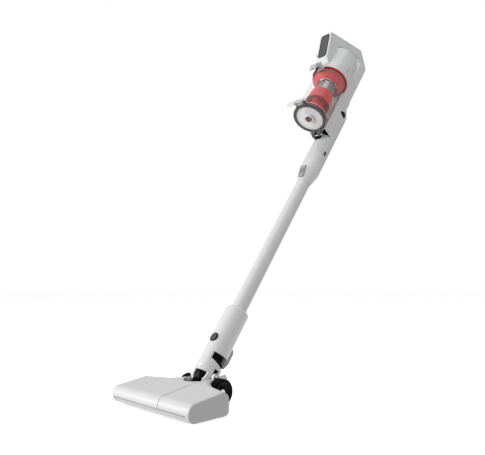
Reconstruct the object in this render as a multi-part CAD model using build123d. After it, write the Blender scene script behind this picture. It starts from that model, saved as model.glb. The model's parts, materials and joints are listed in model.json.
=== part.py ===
from build123d import *
from math import cos, radians, sin, sqrt, tan
import os

# Cordless stick vacuum. Millimetres, +Z up, the floor is z = 0 and the nose of the floor head points to -Y.
# "front" is measured towards the nose, so front = -y. The stick is drawn upright, with h measured along
# the stick from the neck pivot, and is then leaned back about that pivot.

# Overall layout
lean = 36.8              # degrees between the stick and the vertical
pivot_height = 50.4      # neck pivot above the floor
wall = 2.4               # moulded shell wall
gap = 0.4                # between curved faces of different bodies
slide_gap = 0.05         # radial clearance of a shaft in its bearing

# Floor head
head_width = 240.0
head_front = 138.5       # nose to neck pivot
head_front_height = 33.4
head_rear = 46.5         # rear edge at the end caps
head_rear_inner = 32.0   # rear edge where the wings meet the neck
head_bottom = 3.0
head_slope = 0.137       # rise of the top surface per mm towards the rear
cap_thickness = 5.0
seam_height = 14.5       # split between cover and sole
neck_half_width = 34.5
neck_slot = 28.3         # half width of the slot that the elbow tilts in
neck_rear = 30.0
wing_root = 62.0
wing_round = 9.0         # lower rear edge of the wings
panel_rise = 0.9         # raised centre panel of the cover

# Wheels and rollers
wheel_radius = 25.6
wheel_width = 21.0
wheel_inner = 36.5
tyre_depth = 3.2
axle_radius = 4.0
roller_radius = 5.0
roller_length = 14.0
roller_x = 66.0
roller_front = 88.0

# Brush drive
brush_front = 117.5
brush_height = 17.2
brush_radius = 15.6
core_radius = 10.0
brush_half = 105.0
shaft_radius = 3.0
motor_front = 68.0
motor_height = 22.0
motor_radius = 13.0
belt_x = -108.2
belt_width = 6.0
belt_thickness = 1.5
motor_pulley_radius = 5.5
brush_pulley_radius = 9.0

# Neck joint
ball_radius = 26.5       # outer radius of the elbow, which ends in a ball
yoke_radius = 22.8
pitch_pin_radius = 5.0
swivel_pin_radius = 4.0
duct_radius = 14.0

# Lower connector and its buttons
connector_radius = 26.5
connector_wall = 3.2
connector_low = 47.0
connector_high = 158.5
tongue_low = 8.0
tongue_half = 14.5
spigot_radius = 22.6
spigot_top = 62.0
snap_height = 76.0
snap_radius = 7.6
button_travel = 2.5

# Wand
wand_radius = 17.1
wand_wall = 1.5
wand_low = 67.0
wand_high = 626.0
cone_low = 557.0
cone_high = 598.0
collar_radius = 26.5
seam_mid = 643.0         # oblique seam between wand collar and hand unit, on the axis
seam_tilt = 43.0
spigot_high = 704.0
release_height = 574.0

# Hand unit
tube_radius = 26.5
tube_wall = 3.2
tube_high = 725.0
airway_outer = 17.0
airway_inner = 15.2
airway_bend = 35.5
port_height = 765.0
spine_front = 43.0
spine_shoulder = 812.0
taper_low = 800.0
block_low = 862.0
block_half = 20.0
block_rear = 3.0
grip_angle = 36.8        # the grip bar is level when the stick leans by this much
grip_rear = (52.0, 1093.0)
grip_length = 128.0      # along front, from the rear corner to the top of the grille
bar_thickness = 29.0
grille_foot = (150.0, 915.0)
barrel_front = 84.7      # common axis of motor barrel and dust cup
barrel_radius = 51.8
barrel_low = 890.0
barrel_high = 990.0

# Dust cup
cup_radius = 45.5
cup_wall_thickness = 2.0
cup_low = 731.0
cup_high = 888.0
lid_radius = 46.3
lid_window = 37.6
flange_low = 878.0
mesh_radius = 26.8
skirt_low = 783.0
skirt_high = 824.0
cone_radius = 21.0
lid_hinge_front = 35.0
lid_hinge_height = 711.0

# Batteries, 18650 size
cell_radius = 9.1
cell_length = 65.0

bottom = (Align.CENTER, Align.CENTER, Align.MIN)
parts = {}


def side_slab(points, radii, half_width, middle=0.0):
    """A plate of the side outline, given as (front, height) points."""
    wire = FilletPolyline(*[(-front, height) for front, height in points], radius=radii, close=True)
    face = Plane.YZ.offset(middle) * make_face(wire)
    return extrude(face, half_width, both=True)


def upright(radius, low, high, front=0.0, x=0.0):
    return Pos(x, -front, low) * Cylinder(radius, high - low, align=bottom)


def crosswise(radius, left, right, front, height):
    return Pos(left, -front, height) * Rot(0, 90, 0) * Cylinder(radius, right - left, align=bottom)


def forward(radius, rear, front, height, x=0.0):
    return Pos(x, -rear, height) * Rot(90, 0, 0) * Cylinder(radius, front - rear, align=bottom)


def block(x_low, x_high, rear, front, low, high):
    size = Box(x_high - x_low, front - rear, high - low, align=(Align.MIN, Align.MAX, Align.MIN))
    return Pos(x_low, -rear, low) * size


def ball(radius, front=0.0, height=0.0):
    return Pos(0, -front, height) * Sphere(radius)


def group(*shapes):
    return Compound([solid for shape in shapes for solid in shape.solids()])


def mirrored(shape):
    return mirror(shape, about=Plane.YZ)


def turned(profile, front=0.0):
    """A body of revolution about an upright axis, from (radius, height) points."""
    face = Plane.XZ * make_face(Polyline(*profile, close=True))
    return Pos(0, -front, 0) * revolve(face, Axis.Z)


def on_stick(name, shape):
    parts[name] = Pos(0, 0, pivot_height) * Rot(-lean, 0, 0) * shape


def on_head(name, shape):
    parts[name] = shape


# ---------------------------------------------------------------- floor head

def top_height(front):
    return head_front_height + (head_front - front) * head_slope


def head_plan(inset):
    """Plan of wings and neck, moved inwards by inset."""
    half = head_width / 2 - inset
    neck = neck_half_width - inset
    right = [
        (half, -head_front - 6),
        (half, -head_rear - inset),
        (wing_root, -head_rear_inner - inset),
        (neck, -head_rear_inner + 20 - inset),
        (neck, neck_rear - inset),
    ]
    left = [(-x, y) for x, y in reversed(right)]
    plan = make_face(Polyline(*right, *left, close=True))
    corners = plan.vertices().filter_by(lambda v: abs(v.X) < head_width / 2 - 9)
    return fillet(corners.filter_by(lambda v: v.Y < 10), 14.0)


def head_form(inset, rise=0.0):
    """Outer form of the head: the plan under a sloping top, with a round nose."""
    rear = -neck_rear - 5
    low = head_bottom + inset
    nose = head_front - inset + rise
    outline = [
        (nose, low),
        (nose, top_height(nose) - inset + rise),
        (rear, top_height(rear) - inset + rise),
        (rear, low),
    ]
    section = side_slab(outline, [14.5 - inset, 15.5 - inset + rise, 0.5, 0.5], head_width / 2 + 5)
    return section & extrude(head_plan(inset - rise), 90)


def rounded_head(inset):
    """The head form with the rear edges of its wings and neck rounded over, above and below."""
    form = head_form(inset)
    low_edges = form.faces().filter_by(Plane.XY).sort_by(Axis.Z)[0].edges()
    wing_edges = low_edges.filter_by(lambda e: e.center().Y > -head_rear - 2 and abs(e.center().X) > wing_root - 2)
    form = fillet(wing_edges, wing_round - inset)
    top_edges = form.faces().sort_by(Axis.Z)[-1].edges()
    rear_edges = top_edges.filter_by(lambda e: e.center().Y > -head_rear - 2 and e.center().Y < neck_rear - 1)
    return fillet(rear_edges.filter_by(lambda e: abs(e.center().X) > neck_half_width - 7), 14.0 - inset)


def wheel_space(extra):
    """Room for both wheels, grown by extra."""
    left_end = wheel_inner - 1.2 - extra
    right_end = wheel_inner + wheel_width + 2 + extra
    space = crosswise(wheel_radius + 1.5 + extra, left_end, right_end, 0, wheel_radius)
    return space + mirrored(space)


outer_head = rounded_head(0) - wheel_space(0)
caps_cut = head_width / 2 - cap_thickness
panel_plan = make_face(Polyline((-33, -150), (33, -150), (21, -20), (-21, -20), close=True))
centre_panel = head_form(0, panel_rise) & extrude(panel_plan, 90)
inner_head = (rounded_head(wall) - wheel_space(wall)) & block(-caps_cut, caps_cut, -60, 160, 0, 90)
neck_slot_cut = extrude(Pos(0, 8, 24) * make_face(RectangleRounded(2 * neck_slot, 110, neck_slot - 0.5).wire()), 60)
ball_space = Pos(0, 0, pivot_height) * Sphere(ball_radius + gap)

shell = (outer_head + centre_panel) - inner_head
shell = shell - neck_slot_cut
middle = block(-caps_cut, caps_cut, -60, 160, 0, 90)
above_seam = block(-130, 130, -60, 160, seam_height, 90)
cheeks = block(neck_slot, neck_half_width - 0.02, -neck_rear + 6, 26, seam_height, top_height(8) - 2)
pin_boss = crosswise(pitch_pin_radius + 3.2, neck_slot, neck_half_width - 0.02, 0, pivot_height)
cheeks = cheeks + mirrored(cheeks)
cheek_bores = crosswise(pitch_pin_radius + 0.02, -60, 60, 0, pivot_height)
stub_bores = crosswise(axle_radius + 0.02, -60, 60, 0, wheel_radius)
groove_height = 13.0
groove = block(-113, 110, head_front - 1.4, head_front + 4, groove_height, groove_height + 3.4)
cover = (shell & middle & above_seam) + (cheeks & outer_head) + pin_boss + mirrored(pin_boss)
cover = cover - cheek_bores - stub_bores - groove
on_head("head_cover", cover)

motor_right = -34.0
motor_left = -92.0

# Sole: floor plate with the suction mouth, chamber walls and bearing posts
mouth_half = 103.0
mouth_front = brush_front + 15.0
mouth_rear = brush_front - 14.0
mouth = block(-mouth_half, mouth_half, mouth_rear, mouth_front, 0, 20)
lower_shell = (outer_head - inner_head) & middle & block(-130, 130, -60, 160, 0, seam_height)
chamber_wall = block(-caps_cut, caps_cut, brush_front - 20.5, brush_front - 18, head_bottom + wall, 36)
duct_opening = block(-19, 19, brush_front - 21, brush_front - 17, 7, 25)
belt_opening = block(belt_x - 5.5, belt_x + 5.5, brush_front - 21, brush_front - 17, 7, 34)
chamber_wall = chamber_wall - duct_opening - belt_opening
roller_pockets = group(*[
    block(s * roller_x - 8.5, s * roller_x + 8.5, roller_front - 6.5, roller_front + 6.5, 0, 10.8) for s in (-1, 1)
])
roller_roof = group(*[
    block(s * roller_x - 11, s * roller_x + 11, roller_front - 9, roller_front + 9, head_bottom + wall, 12.5)
    for s in (-1, 1)
])
notches = group(*[
    block(x - 9, x + 9, mouth_front - 1, head_front + 2, 0, head_bottom + 3.2) for x in (-78, -42, 25, 78)
])
sole = (lower_shell + chamber_wall + roller_roof - mouth - roller_pockets - notches - groove)
sole = sole - crosswise(1.52, roller_x - 11.1, roller_x + 11.1, roller_front, roller_radius)
sole = sole - crosswise(1.52, -roller_x - 11.1, -roller_x + 11.1, roller_front, roller_radius)
screw_places = [(-98.5, 50), (98.5, 50), (-26, 62), (26, 62)]
screw_bores = group(*[upright(1.6, 0, 40, front, x) for x, front in screw_places])
screw_posts = group(*[upright(4.0, head_bottom + wall, seam_height, front, x) for x, front in screw_places])
motor_cradle = block(motor_left + 8, motor_left + 16, motor_front - 12, motor_front + 12, head_bottom + wall, motor_height)
motor_cradle = motor_cradle + block(motor_right - 16, motor_right - 8, motor_front - 12, motor_front + 12,
                                    head_bottom + wall, motor_height)
motor_cradle = motor_cradle - crosswise(motor_radius + 0.02, -120, 0, motor_front, motor_height)
on_head("head_sole", sole + screw_posts + motor_cradle - screw_bores - stub_bores)


def end_cap():
    """Right end cap: the head's section, with a soft edge and the brush bearing boss."""
    cap = outer_head & block(caps_cut, head_width / 2 + 1, -60, 160, 0, 90)
    face_edges = cap.faces().sort_by(Axis.X)[-1].edges()
    return fillet(face_edges, 1.6)


cap = end_cap()
boss_bore = crosswise(shaft_radius + slide_gap, caps_cut - 8, caps_cut + 2, brush_front, brush_height)
boss = crosswise(6.5, caps_cut - 3.0, caps_cut + 0.1, brush_front, brush_height)
on_head("right_end_cap", cap + boss - boss_bore)
left_boss = mirrored(boss)
on_head("left_end_cap", mirrored(cap) + left_boss - mirrored(boss_bore))
on_head("front_strip", block(-112.6, 109.6, head_front - 1.3, head_front - 0.1, groove_height + 0.4, groove_height + 3.0))

# Brush roll, its pulley and its bristles turn together on the brush axis
brush_shaft = crosswise(shaft_radius, -caps_cut - 1, caps_cut + 1, brush_front, brush_height)
core_left = belt_x + belt_width / 2 + 3.0
core = crosswise(core_radius, core_left, brush_half - 1, brush_front, brush_height)
pulley = crosswise(brush_pulley_radius, belt_x - belt_width / 2 - 0.5, core_left, brush_front, brush_height)
on_head("brush_roll", core + brush_shaft + pulley)
bristle_rows = []
for row in range(6):
    fin = block(core_left + 1, brush_half - 2, -0.9, 0.9, core_radius, brush_radius)
    bristle_rows.append(Pos(0, -brush_front, brush_height) * Rot(60 * row + 20, 0, 0) * fin)
on_head("brush_bristles", group(*bristle_rows) - crosswise(core_radius, -120, 120, brush_front, brush_height))

# Brush motor, on the left behind the chamber, with its pulley and belt
on_head("brush_motor", crosswise(motor_radius, motor_left, motor_right, motor_front, motor_height)
        + crosswise(6, motor_left - 3, motor_right + 3, motor_front, motor_height)
        - crosswise(2 + slide_gap, motor_left - 4, motor_left + 12, motor_front, motor_height))
on_head("motor_pulley", crosswise(motor_pulley_radius, belt_x - 3.5, belt_x + 3.5, motor_front, motor_height)
        + crosswise(2, belt_x, motor_left + 10, motor_front, motor_height))


def belt_band(extra):
    """Stadium-like band round both pulleys, as the hull of two circles."""
    small = motor_pulley_radius + extra
    large = brush_pulley_radius + extra
    hull = make_hull(
        (Pos(-motor_front, motor_height) * CenterArc((0, 0), small, 0, 360)).edges()
        + (Pos(-brush_front, brush_height) * CenterArc((0, 0), large, 0, 360)).edges()
    )
    return extrude(Plane.YZ.offset(belt_x) * hull, belt_width / 2, both=True)


on_head("drive_belt", belt_band(0.35 + belt_thickness) - belt_band(0.35))

# Suction duct: from the chamber to the ball
duct_direction = (0, -sin(radians(45)), -cos(radians(45)))
duct_plane = Plane(origin=(0, 0, pivot_height), z_dir=duct_direction)
duct_outer = extrude(Plane(origin=duct_plane.origin + duct_plane.z_dir * 18, z_dir=duct_direction)
                     * Circle(duct_radius + wall), 24)
duct_inner = extrude(Plane(origin=duct_plane.origin + duct_plane.z_dir * 10, z_dir=duct_direction)
                     * Circle(duct_radius), 30)
duct_box = block(-18.8, 18.8, 18, brush_front - 20.6, 7.2, 24.8)
duct_box_inner = block(-18.8 + wall, 18.8 - wall, 20, brush_front - 20, 7.2 + wall, 24.8 - wall)
duct = (duct_outer + duct_box) - duct_inner - duct_box_inner - ball_space
duct = duct & block(-40, 40, -30, 110, head_bottom + wall + 0.1, 44)
on_head("suction_duct", duct.solids().sort_by(SortBy.VOLUME)[-1])

# Rollers in the sole
on_head("sole_rollers_right", crosswise(roller_radius, roller_x - roller_length / 2, roller_x + roller_length / 2,
                                        roller_front, roller_radius)
        - crosswise(1.5 + slide_gap, roller_x - 12, roller_x + 12, roller_front, roller_radius))
on_head("sole_rollers_left", mirrored(parts["sole_rollers_right"]))
roller_pin = crosswise(1.5, roller_x - 11, roller_x + 11, roller_front, roller_radius)

# Rear wheels on stub axles
wheel_outer = wheel_inner + wheel_width
hub_face = wheel_outer - 6.0
axle = crosswise(axle_radius, neck_slot + 0.7, hub_face + 1, 0, wheel_radius)
axle = axle + crosswise(axle_radius + 2, hub_face + 0.3, hub_face + 1.7, 0, wheel_radius)
tyre_profile = [
    (wheel_inner, wheel_radius - tyre_depth), (wheel_inner, wheel_radius - 2.0), (wheel_inner + 2.0, wheel_radius),
    (wheel_outer - 3.0, wheel_radius), (wheel_outer, wheel_radius - 3.0), (wheel_outer, wheel_radius - tyre_depth - 1.0),
    (wheel_outer - 2.0, wheel_radius - tyre_depth),
]
hub_profile = [
    (wheel_inner, axle_radius + slide_gap), (wheel_inner, wheel_radius - tyre_depth),
    (wheel_outer - 2.0, wheel_radius - tyre_depth), (wheel_outer, wheel_radius - tyre_depth - 1.0),
    (wheel_outer, wheel_radius - tyre_depth - 2.0), (hub_face, wheel_radius * 0.45),
    (hub_face, axle_radius + slide_gap),
]


def about_wheel_axle(profile):
    face = make_face(Polyline(*[(x, r) for x, r in profile], close=True))
    return Pos(0, 0, wheel_radius) * revolve(face, Axis.X)


on_head("right_tyre", about_wheel_axle(tyre_profile))
on_head("left_tyre", mirrored(parts["right_tyre"]))
on_head("right_wheel_hub", about_wheel_axle(hub_profile))
on_head("left_wheel_hub", mirrored(parts["right_wheel_hub"]))

pitch_pin = crosswise(pitch_pin_radius, 14, neck_half_width - 0.6, 0, pivot_height)
steel_pins = [pitch_pin, axle, roller_pin]
on_head("head_axles", group(*steel_pins, *[mirrored(steel_pin) for steel_pin in steel_pins]))

# ---------------------------------------------------------------- neck

yoke = ball(yoke_radius) & block(-21.0, 21.0, -40, 40, -40, 40)
yoke = yoke - crosswise(pitch_pin_radius + slide_gap, 13.5, 40, 0, 0) - crosswise(pitch_pin_radius + slide_gap, -40, -13.5, 0, 0)
yoke = yoke - forward(swivel_pin_radius + slide_gap, -40, -13, 0)
duct_angle = 180 - 45 + lean
yoke_duct = Rot(duct_angle, 0, 0) * Cylinder(duct_radius - 2, 40, align=bottom)
yoke = yoke - yoke_duct - upright(12, 0, 40)
on_stick("neck_yoke", yoke)

shell_ball = ball(ball_radius) & block(-40, 40, -40, 40, -40, 0)
elbow_form = shell_ball + upright(ball_radius, 0, 60)
rim_plane = Pos(0, 0, 25.8) * Rot(-17.2, 0, 0) * Box(120, 120, 80, align=bottom)
elbow_cavity = ball(yoke_radius + 0.5) + upright(yoke_radius + 0.1, 0, 90)
tongue_window = forward(tongue_half + gap, 12, 40, tongue_low + tongue_half)
tongue_window = tongue_window + block(-tongue_half - gap, tongue_half + gap, 12, 40, tongue_low + tongue_half, 80)
elbow = elbow_form - rim_plane - elbow_cavity - tongue_window
elbow = elbow - block(-40, 40, 15, 40, -40, 3)
pin_slot = block(15, 40, -pitch_pin_radius - 1.0, pitch_pin_radius + 1.0, -17, 17)
elbow = elbow - pin_slot - mirrored(pin_slot) - forward(swivel_pin_radius + 0.02, -40, -13, 0)
duct_sweep = Rot(duct_angle, 0, 0) * Cylinder(duct_radius + 5, 40, align=bottom)
elbow = elbow - duct_sweep
on_stick("elbow_shell", elbow.solids().sort_by(SortBy.VOLUME)[-1])
on_stick("swivel_pin", forward(swivel_pin_radius, -ball_radius + 0.4, -14, 0))
spigot = turned([(yoke_radius + 0.05, 9.5), (yoke_radius + 0.05, 24), (spigot_radius, 24.2), (spigot_radius, spigot_top),
                 (spigot_radius - 3, spigot_top), (spigot_radius - 3, 22), (yoke_radius - 2.6, 13.5), (yoke_radius - 2.0, 9.5)])
spigot = spigot - ball(yoke_radius + 0.5)
on_stick("elbow_spigot", spigot - pin_slot - mirrored(pin_slot))

# ---------------------------------------------------------------- lower connector

outer_tube = upright(connector_radius, tongue_low, connector_high)
shoulder_edge = outer_tube.edges().sort_by(Axis.Z)[-1]
outer_tube = fillet(shoulder_edge, 7.0)
low_cut = block(-40, 40, -40, 40, 0, connector_low)
tongue = forward(tongue_half, 12, 40, tongue_low + tongue_half)
tongue = tongue + block(-tongue_half, tongue_half, 12, 40, tongue_low + tongue_half, connector_low + 2)
connector_shell = (outer_tube - low_cut) + (outer_tube & tongue)
connector_shell = connector_shell - upright(connector_radius - connector_wall, 0, 150.5) - upright(wand_radius + 0.5, 0, 200)
bezel_cut = forward(10.25, 25.7, 40, snap_height)
connector_shell = connector_shell - bezel_cut - forward(snap_radius + gap, 10, 40, snap_height)
inlay = Pos(0, -26.1, 0.5 * (tongue_low + 37)) * Rot(90, 0, 0) * extrude(SlotOverall(27, 15, rotation=90), 6)
connector_shell = connector_shell - (inlay & (upright(40, 0, 60) - upright(connector_radius - 0.9, 0, 60)))
on_stick("lower_connector", connector_shell)
sleeve = upright(wand_radius + 2.2, 64, 150.4)
sleeve = sleeve + upright(connector_radius - connector_wall - 0.05, 64, 67)
sleeve = sleeve + upright(connector_radius - connector_wall - 0.05, 146, 150.4)
sleeve = sleeve - upright(wand_radius + 0.35, 60, 160)
on_stick("connector_sleeve", sleeve)
snap = forward(snap_radius, wand_radius + 2.2 + button_travel + 0.4, 27.9, snap_height)
on_stick("snap_button", fillet(snap.edges().sort_by(Axis.Y)[0], 1.2))

# Foot latch at the rear: pedal and dark side arms slide down the stick together
pedal_gap = 0.4
pedal_face = -(connector_radius + pedal_gap)
pedal = side_slab([(pedal_face, 79), (pedal_face - 3.6, 79), (-34.5, 72), (-34.2, 47), (pedal_face - 1.5, 33), (pedal_face, 33)],
                  [1.2, 2.5, 5, 7, 1.0, 0.8], 10.0)
on_stick("latch_pedal", pedal)
arms = upright(connector_radius - 0.2, 31.5, 45) - upright(spigot_radius + 1.3, 31.5, 45)
arms = arms & block(-40, 40, -40, -1.5, 0, 60)
arm_key = block(-9, 9, pedal_face, -connector_radius + 1.5, 34.5, 44) - upright(spigot_radius + 1.3, 30, 50)
on_stick("latch_hooks", arms + arm_key)

# ---------------------------------------------------------------- wand

wand = upright(wand_radius, wand_low, wand_high)
for side in (-1, 1):
    wand = wand + block(side * wand_radius - 0.8, side * wand_radius + 0.8, -3.0, 3.0, connector_high + 3, cone_low - 4)
on_stick("wand_tube", wand - upright(wand_radius - wand_wall, 0, 700))


def above_seam_plane(offset):
    """Everything above the oblique seam, shifted up the stick by offset."""
    return Pos(0, 0, seam_mid + offset) * Rot(-seam_tilt, 0, 0) * Box(300, 300, 200, align=bottom)


collar = turned([(0, cone_low), (wand_radius + 0.5, cone_low), (collar_radius, cone_high), (collar_radius, 720), (0, 720)])
collar = (collar - above_seam_plane(0)) + upright(tube_radius - tube_wall - gap, cone_high, spigot_high)
collar = collar - upright(wand_radius + 0.03, 500, wand_high) - upright(19.4, wand_high, 800)
release_low = release_height - 10.5
release_high = release_height + 26.5
pocket = side_slab([(17.3, release_low), (34, release_low), (34, release_high), (17.3, release_high)], 1.0, 8.4)
on_stick("wand_collar", collar - pocket)
key = side_slab([(19.4, release_low + 0.4), (21.0, release_low + 0.4), (28.3, release_high - 6), (27.6, release_high - 0.4),
                 (19.4, release_high - 0.4)], [0.6, 0.6, 4, 1.5, 0.6], 8.0)
ribs = group(*[
    Pos(0, -25.2 - 0.2 * i, release_height + 2 + 3.1 * i) * Rot(12, 0, 0) * Box(11, 3.4, 1.1) for i in range(6)
])
on_stick("wand_release_button", (key + ribs) & block(-8, 8, 19.4, 29.4, release_low, release_high))

# ---------------------------------------------------------------- hand unit

tube = upright(tube_radius, 560, tube_high) & above_seam_plane(gap)
tube = tube - upright(tube_radius - tube_wall, 560, spigot_high + 3) - upright(airway_outer + 0.2, 600, 760)
plug_place = (2.0, 665.0)
oval = Plane.YZ.offset(20) * Pos(-plug_place[0], plug_place[1]) * SlotOverall(15, 9, rotation=90)
on_stick("hand_tube", tube - extrude(oval, 12))
oval_key = Plane.YZ.offset(23.7) * Pos(-plug_place[0], plug_place[1]) * SlotOverall(14.2, 8.2, rotation=90)
on_stick("port_plug", extrude(oval_key, 3.4))
on_stick("cup_hook", block(-8, 8, 24, 29.5, 706, 722) - upright(tube_radius + 0.05, 700, 760))

rise = tan(radians(grip_angle))
grip_nose = (grip_rear[0] + grip_length, grip_rear[1] - grip_length * rise)
bar_drop = bar_thickness / cos(radians(grip_angle))
loop_roof_front = 126.0


def loop_roof(front):
    """Underside of the grip bar at a given front."""
    return grip_rear[1] - (front - grip_rear[0]) * rise - bar_drop


block_outline = [
    (-block_rear, block_low),
    (-block_rear + 2, 1063),
    grip_rear,
    grip_nose,
    grille_foot,
    (128, 903),
    (loop_roof_front, loop_roof(loop_roof_front)),
    (46, loop_roof(46)),
    (31, loop_roof(46) - 6),
    (31, 984),
    (40, 975),
    (40, block_low),
]
block_radii = [0.8, 9, 9, 4, 5, 2, 6, 5, 5, 4, 4, 0.8]


def block_form(inset):
    """Handle block: rear post, grip bar and front post as one bent beam."""
    form = side_slab(block_outline, block_radii, block_half - inset)
    if inset:
        face = Plane.YZ * make_face(FilletPolyline(*[(-f, h) for f, h in block_outline], radius=block_radii, close=True))
        form = extrude(offset(face, -inset, kind=Kind.INTERSECTION), block_half - inset, both=True)
    return form


def spine_form(inset):
    """Lower spine: round behind, reaching forward beside the cup, and tapering to the handle."""
    radius = tube_radius - inset
    column = upright(radius, tube_high, 900) + block(-radius, radius, 0, spine_front - inset, tube_high, 900)
    side = [(-40, tube_high), (-40, spine_shoulder - 12), (-radius, spine_shoulder - 0.6 * inset),
            (-block_rear + inset, block_low + 1 - 0.6 * inset), (-block_rear + inset, 892), (60, 892), (60, tube_high)]
    taper = Plane.XZ * make_face(Polyline(
        (-radius, tube_high), (-radius, taper_low), (-block_half + inset, block_low + 3), (-block_half + inset, 895),
        (block_half - inset, 895), (block_half - inset, block_low + 3), (radius, taper_low), (radius, tube_high),
        close=True))
    return column & side_slab(side, 0.5, 40) & extrude(taper, 60, both=True)


block_edges = block_form(0)
block_edges = fillet(block_edges.faces().filter_by(Plane.YZ).edges(), 3.5)
barrel_space = upright(barrel_radius + 0.1, barrel_low - 1, barrel_high + 0.1, barrel_front)
cup_space = upright(cup_radius + 1.6, 600, barrel_low - 1, barrel_front)
outer_form = (block_edges + spine_form(0)) - barrel_space - cup_space
inner_form = block_form(wall) + spine_form(wall) + upright(tube_radius - wall, tube_high - 5, tube_high + 20)
inner_form = inner_form - upright(barrel_radius + wall, barrel_low - 1 - wall, barrel_high + wall, barrel_front)
inner_form = inner_form - upright(cup_radius + 1.6 + wall, 600, barrel_low - 1, barrel_front)
shell = outer_form - inner_form

# Grille panel on the sloping front of the handle block, between the grip nose and the foot
slope = (grip_nose[0] - grille_foot[0], grip_nose[1] - grille_foot[1])
slope_length = sqrt(slope[0] ** 2 + slope[1] ** 2)
grille_middle = (0.5 * (grip_nose[0] + grille_foot[0]), 0.5 * (grip_nose[1] + grille_foot[1]))
grille_plane = Plane(
    origin=(0, -grille_middle[0], grille_middle[1]),
    x_dir=(1, 0, 0),
    z_dir=(0, -slope[1] / slope_length, -slope[0] / slope_length),
)
grille_size = (28.0, 78.0)
grille_cut = extrude(grille_plane.offset(-wall - 1) * RectangleRounded(grille_size[0] + 0.4, grille_size[1] + 0.4, 8.2), 10)
shell = shell - grille_cut
grille = extrude(grille_plane.offset(-wall) * RectangleRounded(*grille_size, 8), wall + 0.3)
grille = grille - extrude(grille_plane.offset(-0.5) * RectangleRounded(grille_size[0] - 5, grille_size[1] - 5, 5.5), 2)
for i in range(15):
    slot = grille_plane.offset(-5) * Pos(0, -32.2 + 4.6 * i) * SlotOverall(grille_size[0] - 9, 1.6)
    grille = grille - extrude(slot, 10)
on_stick("exhaust_grille", grille)

# Trigger under the grip bar, hinged at its front end
trigger_hinge = (121.0, loop_roof(121) + 7.5)
trigger_half = 7.6
trigger_points = [
    (trigger_hinge[0] + 3.4, trigger_hinge[1] + 3),
    (98, loop_roof(98) + 8),
    (98, loop_roof(98) - 4),
    (103, loop_roof(103) - 11),
    (109, loop_roof(109) - 8.5),
    (trigger_hinge[0] + 1, loop_roof(121) - 2.5),
    (trigger_hinge[0] + 3.4, loop_roof(124) + 1),
]
trigger = side_slab(trigger_points, [2.5, 1.5, 3, 3, 6, 2, 1.5], trigger_half)
trigger_pin_radius = 1.6
trigger = trigger - crosswise(trigger_pin_radius + slide_gap, -20, 20, *trigger_hinge)
on_stick("trigger", trigger)
on_stick("trigger_pin", crosswise(trigger_pin_radius, -block_half + wall + 0.05, block_half - wall - 0.05, *trigger_hinge))
trigger_slot = side_slab([(96.8, 1060), (96.8, 990), (trigger_hinge[0] + 4.6, 990), (trigger_hinge[0] + 4.6, 1040)], 0.5,
                         trigger_half + gap)
shell = shell - (trigger_slot & side_slab([(60, loop_roof(60) + wall + 1), (60, 985), (130, 985), (130, loop_roof(130) + wall + 1)],
                                          0.2, 20))

# Pack release button on the right flank
pack_outline = [(-5.5, 823), (14, 826), (16, 834), (3, 845), (-5.5, 842)]


def flank_above(offset):
    """Everything outside the tapered flank, moved out by offset."""
    return extrude(Plane.XZ * make_face(Polyline(
        (60, 780), (tube_radius + offset, 780), (tube_radius + offset, taper_low), (block_half + offset, block_low + 3),
        (block_half + offset, 880), (60, 880), close=True)), 80, both=True)


pack_button = side_slab(pack_outline, [4, 4, 4, 3, 4], 1.1 + 3.5, 20.4 + 4.6) - flank_above(0.6)
on_stick("pack_release", pack_button)
pack_cut = side_slab([(-6.0, 822.4), (14.4, 825.5), (16.6, 834.1), (3.2, 845.7), (-6.0, 842.5)], [4, 4, 4, 3, 4], 8, 26)
shell = shell - pack_cut

# Air inlet, battery cells and control board inside the spine
port_cut = forward(airway_outer + 0.6, 30, 60, port_height)
shell = shell - port_cut
bend_low = port_height - airway_bend
duct_section = Pos(0, 0, bend_low) * (Circle(airway_outer) - Circle(airway_inner))
bend = revolve(duct_section, Axis((0, -airway_bend, bend_low), (1, 0, 0)), 90)
duct = extrude(Pos(0, 0, spigot_high + 4) * (Circle(airway_outer) - Circle(airway_inner)), bend_low - spigot_high - 4)
on_stick("inlet_duct", duct + bend)
port_seal = forward(airway_outer, airway_bend + 0.1, 50, port_height) - forward(airway_inner, 20, 60, port_height)
port_seal = port_seal - upright(cup_radius + gap, 700, 800, barrel_front)

cells = [upright(cell_radius, 783, 783 + cell_length, front, x) for x in (-9.3, 9.3) for front in (3.2, 22.0)]
cells = [fillet(cell.edges(), 1.0) for cell in cells]
on_stick("battery_cells", group(*cells))
holder = block(-19.4, 19.4, -5.5, 31, 806, 811) & inner_form
for x in (-9.3, 9.3):
    for front in (3.2, 22.0):
        holder = holder - upright(cell_radius + 0.1, 800, 820, front, x)
board = block(-15, 15, 11, 12.6, 895, 975)
board_ledge = block(-block_half + wall + 0.1, block_half - wall - 0.1, 9, 14.6, 893, 896.5)
board_ledge = board_ledge - block(-15.1, 15.1, 10.9, 12.7, 894.9, 980)
on_stick("inner_brackets", group(holder, board_ledge))
chips = group(
    board,
    block(-9, 3, 12.7, 15.2, 930, 944),
    block(4, 10, 12.7, 14.5, 950, 958),
    upright(4, 905, 917, 17.2, -7),
    upright(4, 905, 917, 17.2, 3),
)
on_stick("control_board", chips)

right_side = block(0, 80, -60, 240, 680, 1150)
left_side = mirrored(right_side)
right_shell = (shell & right_side).solids().sort_by(SortBy.VOLUME)[-1]
left_shell = (shell & left_side).solids().sort_by(SortBy.VOLUME)[-1]
dock_pad = block(-7.5, 7.5, -27.4, -25.4, 742, 792)
on_stick("dock_pad", fillet(dock_pad.edges().filter_by(Axis.Y), 4) - upright(tube_radius + 0.1, 700, 850))
on_stick("right_shell", right_shell)
on_stick("left_shell", left_shell)

# ---------------------------------------------------------------- motor barrel

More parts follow.
